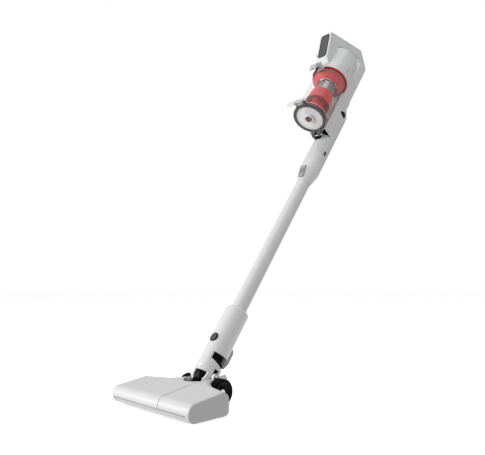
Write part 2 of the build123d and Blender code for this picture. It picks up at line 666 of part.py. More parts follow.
barrel_wall = 2.5
barrel_form = upright(barrel_radius, barrel_low, barrel_high, barrel_front)
barrel_form = fillet(barrel_form.edges().sort_by(Axis.Z)[-1], 7.5)
barrel_cavity = upright(barrel_radius - barrel_wall, barrel_low - 5, barrel_high - barrel_wall, barrel_front)
barrel_cavity = fillet(barrel_cavity.edges().sort_by(Axis.Z)[-1], 5)
status_slit = side_slab([(85.4, 905), (86.8, 905), (86.8, 928), (85.4, 928)], 0.6, 0.8, barrel_radius)
barrel = barrel_form - barrel_cavity - status_slit
for x in (-10, 0, 10):
    barrel = barrel - block(x - 3, x + 3, 120, 150, 928, 962)

motor_low = 926.0
motor_high = 964.0
suction_motor_radius = 30.0
spindle = 2.5
motor_case = upright(suction_motor_radius, motor_low, motor_high, barrel_front)
motor_case = fillet(motor_case.edges().sort_by(Axis.Z)[-1], 4)
motor_case = motor_case + upright(9, motor_high - 1, motor_high + 5, barrel_front)
on_stick("suction_motor", motor_case - upright(spindle + slide_gap, 900, 975, barrel_front))
carrier = upright(barrel_radius - 1, 942, 946, barrel_front)
carrier = carrier - upright(suction_motor_radius + 0.1, 900, 980, barrel_front)
for i in range(8):
    carrier = carrier - Pos(0, -barrel_front, 0) * Rot(0, 0, 45 * i) * Pos(40, 0, 930) * Cylinder(5.5, 30, align=bottom)
on_stick("motor_barrel", barrel + carrier)
impeller = turned([(0, 910), (34, 910), (34, 911.6), (12, 914), (6.5, 923), (0, 923)], barrel_front)
for i in range(9):
    vane = Pos(0, -barrel_front, 0) * Rot(0, 0, 40 * i) * Pos(19, 0, 911) * Rot(0, 0, 25) * Box(24, 1.4, 9, align=bottom)
    impeller = impeller + vane
impeller = impeller & upright(34, 905, 930, barrel_front)
on_stick("impeller", impeller + upright(spindle, 922, 966, barrel_front))
filter_frame_radius = barrel_radius - barrel_wall - 0.1
pre_filter = turned([(20, 893), (filter_frame_radius, 893), (filter_frame_radius, 906), (20, 906)], barrel_front)
for i in range(30):
    pre_filter = pre_filter - Pos(0, -barrel_front, 0) * Rot(0, 0, 12 * i) * Pos(34, 0, 895) * Box(22, 2.0, 20, align=bottom)
hepa = turned([(33, 950), (45, 950), (45, 978), (33, 978)], barrel_front)
hepa = hepa + upright(45, 978, 980, barrel_front) - upright(33, 940, 985, barrel_front)
hepa = hepa + turned([(33, 946.2), (46, 946.2), (46, 950), (33, 950)], barrel_front)
on_stick("filters", group(pre_filter, hepa))
gasket_profile = [(42, 889.2), (51.4, 889.2), (51.4, 889.95), (49.2, 889.95), (49.2, 892.8), (42, 892.8)]
on_stick("air_seals", group(port_seal, turned(gasket_profile, barrel_front)))

# ---------------------------------------------------------------- dust cup

cup = turned([(cup_radius - cup_wall_thickness, cup_low), (cup_radius, cup_low), (cup_radius, cup_high),
              (cup_radius - cup_wall_thickness, cup_high)], barrel_front)
pin_radius = 1.6
lever_hinge = (136.0, 882.5)
ear_points = [(41.6, 738), (45.8, 738), (45.8, 719), (39, 707), (32, 707), (31, 713), (35, 716.5), (41.6, 721.5)]
lug_points = [(127, 887), (138, 887), (140, 882), (135, 875), (127, 872)]
for side in (-1, 1):
    ear = side_slab(ear_points, [0.5, 0.5, 3, 3, 3, 2, 2, 2], 2.0, side * 16)
    lug = side_slab(lug_points, [0.5, 2, 2, 2, 0.5], 1.5, side * 12.0)
    cup = cup + (ear - upright(cup_radius - 1, cup_low, 800, barrel_front))
    cup = cup + (lug - upright(cup_radius - 1, 800, 890, barrel_front))
cup = cup - forward(airway_inner, 30, 60, port_height)
cup = cup - crosswise(pin_radius + 0.01, -20, 20, lid_hinge_front, lid_hinge_height)
cup = cup - crosswise(pin_radius + 0.01, -20, 20, *lever_hinge)
on_stick("cup_wall", cup)
lid_pin = crosswise(pin_radius, -17.8, 17.8, lid_hinge_front, lid_hinge_height)
on_stick("cup_pins", group(lid_pin, crosswise(pin_radius, -13.4, 13.4, *lever_hinge)))

cup_inner = cup_radius - cup_wall_thickness
on_stick("cyclone_flange", turned([
    (24, cup_high), (cup_inner - 0.1, cup_high), (cup_inner - 0.1, flange_low + 6), (41, flange_low),
    (31, 866), (29, 866), (29, 880.5), (24, 880.5)], barrel_front))
mesh = turned([(mesh_radius - 1, skirt_high - 1), (mesh_radius, skirt_high - 1), (mesh_radius, 880.3),
               (mesh_radius - 1, 880.3)], barrel_front)
on_stick("cyclone_mesh", mesh)
skirt = turned([
    (cone_radius + 0.2, skirt_high - 1.2), (32, skirt_high - 1.2), (35.2, skirt_low), (33.6, skirt_low),
    (30.6, skirt_high - 3.2), (cone_radius + 0.2, skirt_high - 3.2)], barrel_front)
fines_tube = turned([
    (cone_radius, skirt_high + 14), (cone_radius - 2, cup_low + 7), (cone_radius - 4, cup_low + 7),
    (cone_radius - 2, skirt_high + 14)], barrel_front)
on_stick("cyclone_skirt", group(skirt, fines_tube))

# Lid, hinged at the rear and latched at the front
lid_top = cup_low - 0.4
lid_bottom = lid_top - 8.6
lid = turned([(lid_window, lid_bottom + 1.5), (lid_window + 1.5, lid_bottom), (lid_radius - 2, lid_bottom),
              (lid_radius, lid_bottom + 2), (lid_radius, lid_top), (lid_window, lid_top)], barrel_front)
latch_hinge = (137.0, 726.0)
arm_points = [(32, 707), (31, 713), (34, 715.5), (39, lid_bottom - 0.6), (42, lid_bottom + 3), (46.6, lid_bottom + 3),
              (46.6, lid_bottom), (43, lid_bottom - 1), (38.5, 707)]
catch_points = [(127, 730), (136, 730), (141, 727.5), (141, 723), (136, 721.9), (127, 721.9)]
lid = lid - block(13.5, 18.5, 30, 47.5, 700, 740) - block(-18.5, -13.5, 30, 47.5, 700, 740)
for side in (-1, 1):
    lid = lid + side_slab(arm_points, [3, 3, 2, 1, 1, 0.5, 0.5, 1, 3], 4.4, side * 8.6)
    lid = lid + side_slab(catch_points, [0.5, 2, 2.5, 2.5, 2, 0.5], 1.5, side * 13.0)
lid = lid - crosswise(pin_radius + slide_gap, -20, 20, lid_hinge_front, lid_hinge_height)
on_stick("lid_ring", lid + crosswise(pin_radius, -14.4, 14.4, *latch_hinge))
on_stick("lid_disc", turned([
    (0, lid_top - 3.6), (lid_window - 0.1, lid_top - 3.6), (lid_window - 0.1, lid_top - 6.4), (14, lid_top - 6.4),
    (13, lid_top - 10), (9.8, lid_top - 10), (9.8, lid_top - 5.6), (0, lid_top - 5.6)], barrel_front))
latch = side_slab([(130.9, 741), (139.5, 741), (143.5, 727), (150, 720), (164, 690), (158, 686), (142, 714), (133.4, 719.5),
                   (132, 733), (130.9, 736)], [1.0, 2.5, 6, 6, 2, 2, 5, 2, 1, 0.5], 11.0)
on_stick("lid_latch", latch - crosswise(pin_radius + slide_gap, -20, 20, *latch_hinge))
lever = side_slab([(131.8, 887), (140, 888.6), (152, 888.6), (163, 868), (160, 851), (154.5, 852), (153.4, 868), (146, 876.5),
                   (133, 878.5)], [1.5, 2, 6, 7, 2, 2, 5, 4, 1.5], 9.8)
lever_slot = block(-1.7, 1.7, 139, 160, 820, 884)
lever = lever - crosswise(pin_radius + slide_gap, -20, 20, *lever_hinge) - lever_slot
on_stick("cup_release", lever)
on_stick("release_fin", side_slab([(140, 883.9), (147.5, 883.9), (147, 838), (144.6, 838)], [1, 1, 0.8, 0.8], 1.6))

# ---------------------------------------------------------------- place and write

front_most = min(shape.bounding_box().min.Y for shape in parts.values())
rear_most = max(shape.bounding_box().max.Y for shape in parts.values())
centre_shift = -0.5 * (front_most + rear_most)

os.makedirs("parts", exist_ok=True)
for name, shape in parts.items():
    export_step(Pos(0, centre_shift, 0) * shape, f"parts/{name}.step")
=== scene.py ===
import json
import math

import bpy
from mathutils import Matrix, Vector


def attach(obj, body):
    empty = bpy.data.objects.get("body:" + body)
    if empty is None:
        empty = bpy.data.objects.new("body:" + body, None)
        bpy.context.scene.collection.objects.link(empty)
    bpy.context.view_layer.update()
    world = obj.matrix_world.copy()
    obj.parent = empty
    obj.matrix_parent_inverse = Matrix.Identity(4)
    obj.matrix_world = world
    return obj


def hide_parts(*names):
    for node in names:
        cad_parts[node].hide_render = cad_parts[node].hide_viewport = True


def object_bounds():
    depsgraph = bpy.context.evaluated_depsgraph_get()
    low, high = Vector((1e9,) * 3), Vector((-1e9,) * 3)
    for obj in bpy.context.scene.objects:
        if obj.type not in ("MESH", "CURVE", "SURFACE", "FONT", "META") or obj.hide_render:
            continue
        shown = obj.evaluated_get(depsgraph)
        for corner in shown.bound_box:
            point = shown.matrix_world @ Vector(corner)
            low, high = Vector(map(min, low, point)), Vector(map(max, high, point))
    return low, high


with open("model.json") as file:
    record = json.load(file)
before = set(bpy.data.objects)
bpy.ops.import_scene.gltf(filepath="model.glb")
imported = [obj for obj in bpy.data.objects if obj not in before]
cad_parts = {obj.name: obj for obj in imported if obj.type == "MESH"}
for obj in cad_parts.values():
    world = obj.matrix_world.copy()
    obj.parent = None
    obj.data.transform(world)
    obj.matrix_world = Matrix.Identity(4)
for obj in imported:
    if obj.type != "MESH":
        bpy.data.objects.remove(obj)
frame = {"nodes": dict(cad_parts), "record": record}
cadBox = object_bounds()
record = frame["record"]
joints = {joint["name"]: joint for joint in record["behaviour"]["joints"]}
mm = 0.001

# The stick's own axes: side, back and along, counted from the neck pivot
pivot = Vector(joints["neck_pitch"]["pos_m"])
along = -Vector(joints["wand_pull"]["axis"])
ahead = Vector(joints["cup_pull"]["axis"])
stickFrame = Matrix((
    (1, -ahead.x, along.x, pivot.x),
    (0, -ahead.y, along.y, pivot.y),
    (0, -ahead.z, along.z, pivot.z),
    (0, 0, 0, 1),
))
headFrame = Matrix.Translation((pivot.x, pivot.y, 0))
leanAngle = math.atan2(along.y, along.z)
print("frame loaded:", len(frame["nodes"]), "nodes")

# Shader building

class Wire:
    def __init__(self, graph, socket):
        self.graph = graph
        self.socket = socket

    def maths(self, operation, other, flipped=False):
        pair = {0: other, 1: self} if flipped else {0: self, 1: other}
        return self.graph.add("ShaderNodeMath", {"operation": operation}, pair)

    def __add__(self, other):
        return self.maths("ADD", other)

    def __radd__(self, other):
        return self.maths("ADD", other, True)

    def __sub__(self, other):
        return self.maths("SUBTRACT", other)

    def __rsub__(self, other):
        return self.maths("SUBTRACT", other, True)

    def __mul__(self, other):
        return self.maths("MULTIPLY", other)


class Finish:
    def __init__(self, name, **fixed):
        self.material = bpy.data.materials.new(name)
        self.material.use_nodes = True
        self.tree = self.material.node_tree
        self.tree.nodes.clear()
        self.shader = self.tree.nodes.new("ShaderNodeBsdfPrincipled")
        output = self.tree.nodes.new("ShaderNodeOutputMaterial")
        self.tree.links.new(self.shader.outputs[0], output.inputs[0])
        self.place = self.add("ShaderNodeTexCoord", {}, {}, "Object")
        for socket, value in fixed.items():
            self.shader.inputs[socket.replace("_", " ")].default_value = value

    def add(self, kind, settings, inputs, output=0):
        node = self.tree.nodes.new(kind)
        for key, value in settings.items():
            if key == "stops":
                ramp = node.color_ramp
                while len(ramp.elements) < len(value):
                    ramp.elements.new(0.5)
                for element, (position, colour) in zip(ramp.elements, value):
                    element.position = position
                    element.color = (*colour, 1) if len(colour) == 3 else colour
            else:
                setattr(node, key, value)
        for key, value in inputs.items():
            if isinstance(value, Wire):
                self.tree.links.new(value.socket, node.inputs[key])
            else:
                node.inputs[key].default_value = value
        return Wire(self, node.outputs[output])

    def feed(self, socket, value):
        self.tree.links.new(value.socket, self.shader.inputs[socket])
        return self

    def noise(self, scale, detail=2.0, rough=0.5, vector=None):
        wires = {"Vector": vector or self.place, "Scale": scale, "Detail": detail, "Roughness": rough}
        return self.add("ShaderNodeTexNoise", {}, wires)

    def stretched(self, scale, turn=(0, 0, 0)):
        return self.add("ShaderNodeMapping", {}, {"Vector": self.place, "Rotation": turn, "Scale": scale})

    def mixed(self, factor, first, second):
        first = (*first, 1) if isinstance(first, tuple) and len(first) == 3 else first
        second = (*second, 1) if isinstance(second, tuple) and len(second) == 3 else second
        return self.add("ShaderNodeMix", {"data_type": "RGBA"}, {0: factor, 6: first, 7: second}, 2)

    def range(self, value, low, high, toLow=0.0, toHigh=1.0):
        wires = {"Value": value, "From Min": low, "From Max": high, "To Min": toLow, "To Max": toHigh}
        return self.add("ShaderNodeMapRange", {"clamp": True}, wires)

    def raised(self, height, depth, strength=1.0):
        bump = self.add("ShaderNodeBump", {}, {"Height": height, "Distance": depth, "Strength": strength})
        return self.feed("Normal", bump)


def mouldedPlastic(name, colour, roughness=0.38, grain=0.000012, coat=0.0, shine=0.5):
    # fine spark-eroded grain, slow tint drift and a few rubbed patches
    finish = Finish(name, Coat_Weight=coat, Coat_Roughness=0.12, Specular_IOR_Level=shine)
    drift = finish.noise(scale=9, detail=3)
    rubbed = finish.range(finish.noise(scale=38, detail=5, rough=0.6), low=0.56, high=0.72)
    darker = tuple(channel * 0.97 for channel in colour)
    finish.feed("Base Color", finish.mixed(drift, darker, colour))
    finish.feed("Roughness", finish.noise(scale=900) * 0.08 + (roughness - 0.04) - rubbed * 0.06)
    return finish.raised(finish.noise(scale=2600), depth=grain)


def clearPlastic(name, colour, squareAlpha, rimAlpha, roughness=0.04):
    # see-through when looked at squarely, milkier at the rim, with faint flow lines
    finish = Finish(name, IOR=1.49, Coat_Weight=0.35, Coat_Roughness=0.03)
    rim = finish.add("ShaderNodeLayerWeight", {}, {"Blend": 0.35}, "Facing")
    flow = finish.noise(scale=1.0, detail=3, vector=finish.stretched((30, 30, 4), (leanAngle, 0, 0)))
    finish.feed("Base Color", finish.mixed(flow, colour, tuple(min(1, c * 1.06) for c in colour)))
    finish.feed("Alpha", rim * (rimAlpha - squareAlpha) + squareAlpha)
    finish.feed("Roughness", flow * 0.03 + roughness)
    return finish


def brushedMetal(name, colour, roughness=0.3, lines=(1400, 1400, 12), turn=None, metallic=1.0):
    finish = Finish(name, Metallic=metallic)
    grainWay = finish.stretched(lines, turn or (leanAngle, 0, 0))
    scratch = finish.noise(scale=1.0, detail=3, rough=0.6, vector=grainWay)
    smear = finish.noise(scale=14, detail=3)
    darker = tuple(channel * 0.84 for channel in colour)
    finish.feed("Base Color", finish.mixed(scratch * 0.5 + smear * 0.3, colour, darker))
    finish.feed("Roughness", scratch * 0.16 + (roughness - 0.08))
    return finish.raised(scratch, depth=0.00002)


def perforatedSteel(name):
    # round holes in a close pattern, a little over one millimetre apart
    finish = Finish(name)
    # painted shade: the holes are painted near black for the dark seen through them
    holeShade, metal = (0.02, 0.018, 0.018), (0.40, 0.385, 0.375)
    pattern = {"Vector": finish.place, "Scale": 820, "Randomness": 0.15}
    cells = finish.add("ShaderNodeTexVoronoi", {"feature": "F1"}, pattern, "Distance")
    land = finish.range(cells, low=0.30, high=0.40)
    finish.feed("Base Color", finish.mixed(land, holeShade, metal))
    finish.feed("Metallic", land * 0.95)
    finish.feed("Roughness", 0.62 - land * 0.36)
    return finish.raised(land, depth=0.0001)


def softRubber(name, colour, roughness=0.62):
    finish = Finish(name, Sheen_Weight=0.12)
    dust = finish.range(finish.noise(scale=60, detail=6, rough=0.65), low=0.52, high=0.75)
    finish.feed("Base Color", finish.mixed(dust * 0.5, colour, tuple(c + 0.035 for c in colour)))
    finish.feed("Roughness", finish.noise(scale=700) * 0.12 + (roughness - 0.06))
    return finish.raised(finish.noise(scale=1600, detail=3), depth=0.00008)


def tyreRubber(name):
    # fine moulded ribs across the tread
    finish = Finish(name, Specular_IOR_Level=0.05)
    clean, dusty = (0.0025, 0.0025, 0.003), (0.009, 0.009, 0.009)
    tread = {"Vector": finish.place, "Scale": 160, "Distortion": 0.0}
    ribs = finish.add("ShaderNodeTexWave", {"bands_direction": "X"}, tread)
    dust = finish.range(finish.noise(scale=90, detail=5, rough=0.6), low=0.5, high=0.8)
    finish.feed("Base Color", finish.mixed(dust * 0.4, clean, dusty))
    finish.feed("Roughness", 0.46 + dust * 0.2)
    return finish.raised(ribs, depth=0.00012)


def feltCloth(name, colour, scale=1500):
    finish = Finish(name, Sheen_Weight=0.4, Sheen_Roughness=0.5)
    fibres = finish.noise(scale, detail=5, rough=0.7)
    finish.feed("Base Color", finish.mixed(fibres, tuple(c * 0.62 for c in colour), colour))
    finish.feed("Roughness", fibres * 0.2 + 0.75)
    return finish.raised(fibres, depth=0.0003)


def bristleNylon(name, colour):
    finish = Finish(name, Sheen_Weight=0.2)
    strand = finish.noise(scale=2200)
    darker = tuple(channel * 0.45 for channel in colour)
    finish.feed("Base Color", finish.mixed(finish.range(strand, low=0.35, high=0.65), darker, colour))
    finish.feed("Roughness", strand * 0.2 + 0.35)
    return finish.raised(strand, depth=0.0002)


def pleatedPaper(name):
    finish = Finish(name)
    # painted shade: the valleys of the pleats are painted darker than the crests
    valleyShade, crest = (0.42, 0.43, 0.45), (0.8, 0.81, 0.83)
    folds = {"Vector": finish.place, "Scale": 240, "Distortion": 1.0}
    pleat = finish.add("ShaderNodeTexWave", {"bands_direction": "DIAGONAL"}, folds)
    finish.feed("Base Color", finish.mixed(pleat, valleyShade, crest))
    finish.feed("Roughness", finish.noise(scale=800) * 0.1 + 0.8)
    return finish.raised(pleat, depth=0.0003)


def circuitBoard(name):
    finish = Finish(name, Coat_Weight=0.4)
    layout = {"Vector": finish.place, "Scale": 170}
    lacquer = {"Color1": (0.01, 0.1, 0.05, 1), "Color2": (0.012, 0.13, 0.06, 1)}
    copper = {"Mortar": (0.35, 0.28, 0.1, 1), "Mortar Size": 0.09}
    tracks = finish.add("ShaderNodeTexBrick", {"offset": 0.37}, {**layout, **lacquer, **copper})
    finish.feed("Base Color", tracks)
    finish.feed("Roughness", finish.noise(scale=500) * 0.2 + 0.3)
    return finish.raised(finish.add("ShaderNodeTexBrick", {"offset": 0.37}, layout, 1), depth=0.00005)


def shrinkWrap(name, colour):
    finish = Finish(name, Coat_Weight=0.6)
    alongCell = finish.stretched((260, 260, 40), (leanAngle, 0, 0))
    wrinkle = finish.noise(scale=1.0, detail=4, rough=0.6, vector=alongCell)
    finish.feed("Base Color", finish.mixed(wrinkle, tuple(c * 0.8 for c in colour), colour))
    finish.feed("Roughness", wrinkle * 0.12 + 0.22)
    return finish.raised(wrinkle, depth=0.00012)


finishes = {
    "whiteShell": mouldedPlastic("whiteShell", (0.80, 0.80, 0.805), 0.32, coat=0.2),
    "headShell": mouldedPlastic("headShell", (0.74, 0.74, 0.745), 0.42, 0.00001, 0.08),
    "lightGreyShell": mouldedPlastic("lightGreyShell", (0.74, 0.745, 0.75), 0.34, coat=0.15),
    "capGrey": mouldedPlastic("capGrey", (0.60, 0.60, 0.605), 0.40),
    "pedalGrey": mouldedPlastic("pedalGrey", (0.42, 0.42, 0.425), 0.42),
    "buttonGrey": mouldedPlastic("buttonGrey", (0.085, 0.085, 0.088), 0.42, shine=0.3),
    "panelGrey": mouldedPlastic("panelGrey", (0.15, 0.15, 0.153), 0.5, 0.00005, shine=0.3),
    "gunGrey": mouldedPlastic("gunGrey", (0.062, 0.060, 0.058), 0.42),
    "deepBlack": mouldedPlastic("deepBlack", (0.003, 0.003, 0.0035), 0.34, shine=0.08),
    "dustRed": mouldedPlastic("dustRed", (0.72, 0.022, 0.024), 0.3, 0.000012, shine=0.2),
    # painted shade: the red inside the lid, seen through the boss hole, darkened
    "shadedHoleRed": mouldedPlastic("shadedHoleRed", (0.16, 0.006, 0.008), 0.22, 0.00002, 0.5),
    "clearCup": clearPlastic("clearCup", (0.93, 0.93, 0.94), 0.01, 0.17),
    "clearLatch": clearPlastic("clearLatch", (0.78, 0.77, 0.77), 0.22, 0.70, 0.08),
    "smokedLever": clearPlastic("smokedLever", (0.62, 0.63, 0.64), 0.80, 0.97, 0.16),
    "milkyDisc": clearPlastic("milkyDisc", (1.0, 0.98, 0.975), 0.62, 0.85, 0.16),
    "wandSatin": brushedMetal("wandSatin", (0.80, 0.80, 0.805), 0.36, (500, 500, 6), metallic=0.0),
    "steel": brushedMetal("steel", (0.60, 0.60, 0.61), 0.28, (900, 900, 900), (0, 0, 0)),
    "brass": brushedMetal("brass", (0.78, 0.60, 0.30), 0.25, (900, 900, 900), (0, 0, 0)),
    "cycloneMesh": perforatedSteel("cycloneMesh"),
    "sealRubber": softRubber("sealRubber", (0.014, 0.014, 0.015)),
    "sealRed": softRubber("sealRed", (0.55, 0.035, 0.035), 0.5),
    "wheelTyre": tyreRubber("wheelTyre"),
    "mouthFelt": feltCloth("mouthFelt", (0.05, 0.05, 0.053)),
    "ventCloth": feltCloth("ventCloth", (0.22, 0.22, 0.225), 2400),
    "bristles": bristleNylon("bristles", (0.13, 0.13, 0.135)),
    "filterPaper": pleatedPaper("filterPaper"),
    "board": circuitBoard("board"),
    "cellWrap": shrinkWrap("cellWrap", (0.06, 0.22, 0.46)),
}

dressing = {
    "headShell": ["head_cover", "head_sole"],
    "whiteShell": ["elbow_shell", "lower_connector", "wand_collar"],
    "lightGreyShell": ["hand_tube", "right_shell", "left_shell", "motor_barrel"],
    "capGrey": ["right_end_cap", "left_end_cap"],
    "pedalGrey": ["latch_pedal", "wand_release_button", "port_plug", "front_strip"],
    "buttonGrey": ["snap_button", "latch_hooks"],
    "panelGrey": ["exhaust_grille", "trigger", "inner_brackets"],
    "gunGrey": ["lid_ring", "release_fin", "dock_pad", "brush_roll"],
    "deepBlack": ["connector_sleeve", "elbow_spigot", "neck_yoke", "suction_duct", "inlet_duct",
                  "pack_release", "cup_hook", "impeller", "right_wheel_hub", "left_wheel_hub",
                  "sole_rollers_right", "sole_rollers_left"],
    "dustRed": ["cyclone_flange", "cyclone_skirt"],
    "clearCup": ["cup_wall"],
    "clearLatch": ["lid_latch"],
    "smokedLever": ["cup_release"],
    "milkyDisc": ["lid_disc"],
    "wandSatin": ["wand_tube"],
    "steel": ["head_axles", "swivel_pin", "trigger_pin", "cup_pins", "brush_motor", "motor_pulley",
              "suction_motor"],
    "cycloneMesh": ["cyclone_mesh"],
    "sealRubber": ["drive_belt"],
    "sealRed": ["air_seals"],
    "wheelTyre": ["right_tyre", "left_tyre"],
    "filterPaper": ["filters"],
    "board": ["control_board"],
    "cellWrap": ["battery_cells"],
}
for finishName, nodeNames in dressing.items():
    for nodeName in nodeNames:
        node = frame["nodes"][nodeName]
        for materialSlot in node.material_slots:
            materialSlot.material = finishes[finishName].material

# Modelling helpers: a primitive is laid down, shaped in edit mode, then seated in the frame

weldGap = 0.000002


def fresh():
    if bpy.context.mode != "OBJECT":
        bpy.ops.object.mode_set(mode="OBJECT")
    bpy.ops.object.select_all(action="DESELECT")


def only(*pieces):
    fresh()
    for piece in pieces:
        piece.select_set(True)
    bpy.context.view_layer.objects.active = pieces[0]


def removed(piece):
    only(piece)
    bpy.ops.object.delete()


def seat(piece, name, body, finishName, matrix=stickFrame, smoothAngle=35):
    piece.matrix_world = matrix @ piece.matrix_world
    only(piece)
    bpy.ops.object.transform_apply(location=True, rotation=True, scale=True)
    bpy.ops.object.shade_smooth_by_angle(angle=math.radians(smoothAngle))
    piece.name = name
    piece.data.name = name
    piece.data.materials.clear()
    piece.data.materials.append(finishes[finishName].material)
    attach(piece, body)
    return piece


def tidyNormals(piece):
    only(piece)
    bpy.ops.object.mode_set(mode="EDIT")
    bpy.ops.mesh.select_all(action="SELECT")
    bpy.ops.mesh.remove_doubles(threshold=weldGap)
    bpy.ops.mesh.normals_make_consistent(inside=False)
    bpy.ops.object.mode_set(mode="OBJECT")


def spun(profile, steps=64):
    # a plane merged to one corner, drawn out round the closed profile of (radius, height), then spun about Z
    fresh()
    bpy.ops.mesh.primitive_plane_add(size=0.001)
    piece = bpy.context.object
    bpy.ops.object.mode_set(mode="EDIT")
    bpy.ops.mesh.select_mode(type="VERT")
    bpy.ops.mesh.select_all(action="SELECT")
    bpy.ops.mesh.merge(type="CENTER")
    first = Vector((profile[0][0], 0, profile[0][1])) * mm
    bpy.ops.transform.translate(value=first)
    here = first
    for radius, height in [*profile[1:], profile[0]]:
        there = Vector((radius, 0, height)) * mm
        bpy.ops.mesh.extrude_region_move(TRANSFORM_OT_translate={"value": there - here})
        here = there
    bpy.ops.mesh.select_all(action="SELECT")
    bpy.ops.mesh.remove_doubles(threshold=weldGap)
    bpy.ops.mesh.select_all(action="SELECT")
    bpy.ops.mesh.spin(steps=steps, angle=math.tau, center=(0, 0, 0), axis=(0, 0, 1))
    bpy.ops.object.mode_set(mode="OBJECT")
    tidyNormals(piece)
    return piece


def applied(piece, kind, **settings):
    only(piece)
    modifier = piece.modifiers.new(kind.title(), kind)
    for key, value in settings.items():
        setattr(modifier, key, value)
    bpy.ops.object.modifier_apply(modifier=modifier.name)
    return piece


def carved(piece, cutter, operation="DIFFERENCE"):
    applied(piece, "BOOLEAN", object=cutter, operation=operation, solver="EXACT")
    removed(cutter)
    return piece


def softened(piece, width, segments=2, angle=40):
    return applied(piece, "BEVEL", width=width * mm, segments=segments, limit_method="ANGLE",
                   angle_limit=math.radians(angle))


def bar(lengths, centre, cornerRadius=0.0, turn=(0, 0, 0)):
    # a box of real lengths; its upright corners are rounded in edit mode
    fresh()
    bpy.ops.mesh.primitive_cube_add(size=1, location=Vector(centre) * mm, rotation=turn)
    piece = bpy.context.object
    piece.scale = Vector(lengths) * mm
    bpy.ops.object.transform_apply(location=False, rotation=False, scale=True)
    if cornerRadius:
        bpy.ops.object.mode_set(mode="EDIT")
        bpy.ops.mesh.select_mode(type="EDGE")
        bpy.ops.mesh.select_all(action="DESELECT")
        bpy.ops.object.mode_set(mode="OBJECT")
        for edge in piece.data.edges:
            ends = [piece.data.vertices[i].co for i in edge.vertices]
            edge.select = abs(ends[0].x - ends[1].x) < 1e-7 and abs(ends[0].y - ends[1].y) < 1e-7
        bpy.ops.object.mode_set(mode="EDIT")
        bpy.ops.mesh.bevel(offset=cornerRadius * mm, segments=6)
        bpy.ops.object.mode_set(mode="OBJECT")
    return piece


def tube(radius, depth, centre, vertices=96, turn=(0, 0, 0)):
    fresh()
    bpy.ops.mesh.primitive_cylinder_add(radius=radius * mm, depth=depth * mm, vertices=vertices,
                                        location=Vector(centre) * mm, rotation=turn)
    return bpy.context.object


def copied(piece, matrix):
    twin = piece.copy()
    twin.data = piece.data.copy()
    bpy.context.collection.objects.link(twin)
    twin.matrix_world = matrix @ piece.matrix_world
    return twin


def joined(pieces):
    only(*pieces)
    if len(pieces) > 1:
        bpy.ops.object.join()
    return bpy.context.view_layer.objects.active


def topPicked(piece):
    # leaves the piece in edit mode with only its top faces picked
    only(piece)
    bpy.ops.object.mode_set(mode="EDIT")
    bpy.ops.mesh.select_mode(type="FACE")
    bpy.ops.mesh.select_all(action="DESELECT")
    bpy.ops.object.mode_set(mode="OBJECT")
    for face in piece.data.polygons:
        face.select = face.normal.z > 0.9
    bpy.ops.object.mode_set(mode="EDIT")


def around(piece, count):
    # the piece and its copies, evenly turned about Z
    return [piece] + [copied(piece, Matrix.Rotation(math.tau * i / count, 4, "Z")) for i in range(1, count)]


def halfDrawn(piece, side, distance):
    # moves the upper half (side 1) or the lower half (side -1) of the piece along Z
    only(piece)
    bpy.ops.object.mode_set(mode="EDIT")
    bpy.ops.mesh.select_mode(type="VERT")
    bpy.ops.mesh.select_all(action="DESELECT")
    bpy.ops.object.mode_set(mode="OBJECT")
    for vertex in piece.data.vertices:
        vertex.select = (vertex.co.z > 0) == (side > 0)
    bpy.ops.object.mode_set(mode="EDIT")
    bpy.ops.transform.translate(value=(0, 0, side * distance * mm))
    bpy.ops.object.mode_set(mode="OBJECT")


turnAhead = Matrix.Rotation(math.radians(90), 4, "X")      # turns +Z to the front of the stick
middleHole = 0.01                                          # a spun disc starts this far from its axis

# Lower connector: ring round the snap button, and the oval inlay on its front tongue

snapRing = {"along": 76.0, "seatAt": 25.75, "bore": 7.75, "rim": 10.15, "crown": 1.35,
            "boreSide": 1.1, "rimSide": 0.8}
bore, rim, crown = snapRing["bore"], snapRing["rim"], snapRing["crown"]
ring = spun([(bore, 0), (bore, snapRing["boreSide"]), (bore + 0.5, crown),
             (rim - 0.6, crown), (rim, snapRing["rimSide"]), (rim, 0)], 72)
ringPlace = Matrix.Translation(Vector((0, -snapRing["seatAt"], snapRing["along"])) * mm) @ turnAhead
seat(ring, "snapRing", "connector", "deepBlack", stickFrame @ ringPlace)

inlay = {"along": 22.5, "width": 14.2, "height": 26.2, "outer": 26.36, "inner": 25.65, "reach": 14,
         "edge": 0.18}
oval = tube(inlay["width"] / 2, inlay["reach"], (0, -inlay["outer"], inlay["along"]), 64, (math.pi / 2, 0, 0))
only(oval)
bpy.ops.object.transform_apply(location=False, rotation=True, scale=True)
for side in (1, -1):
    halfDrawn(oval, side, inlay["height"] / 2 - inlay["width"] / 2)
inlaySkin = tube(inlay["outer"], 40, (0, 0, inlay["along"]), 160)
carved(inlaySkin, tube(inlay["inner"], 50, (0, 0, inlay["along"]), 160))
carved(inlaySkin, oval, "INTERSECT")
softened(inlaySkin, inlay["edge"])
seat(inlaySkin, "tongueInlay", "connector", "whiteShell")
print("connector trim done")

# Dust cup: hoops on the mesh, rims on the clear wall, and the lid's dish, collar and grip ribs; the dish's
# dark red is the red seen through the boss hole, with painted shade

def hoops(sizes):
    # a thin ring at each height, with half height root at its inner face and edge at its outer one
    inner, outer, root, edge = (sizes[key] for key in ("inner", "outer", "root", "edge"))
    return [spun([(inner, h - root), (outer, h - edge), (outer, h + edge), (inner, h + root)], sizes["steps"])
            for h in sizes["heights"]]


cupMiddle = 84.7
cupFrame = stickFrame @ Matrix.Translation(Vector((0, -cupMiddle, 0)) * mm)
cage = {"heights": (825.6, 868.0), "inner": 26.82, "outer": 27.4, "root": 0.9, "edge": 0.5, "steps": 96}
seat(joined(hoops(cage)), "meshHoops", "dust_cup", "steel", cupFrame)

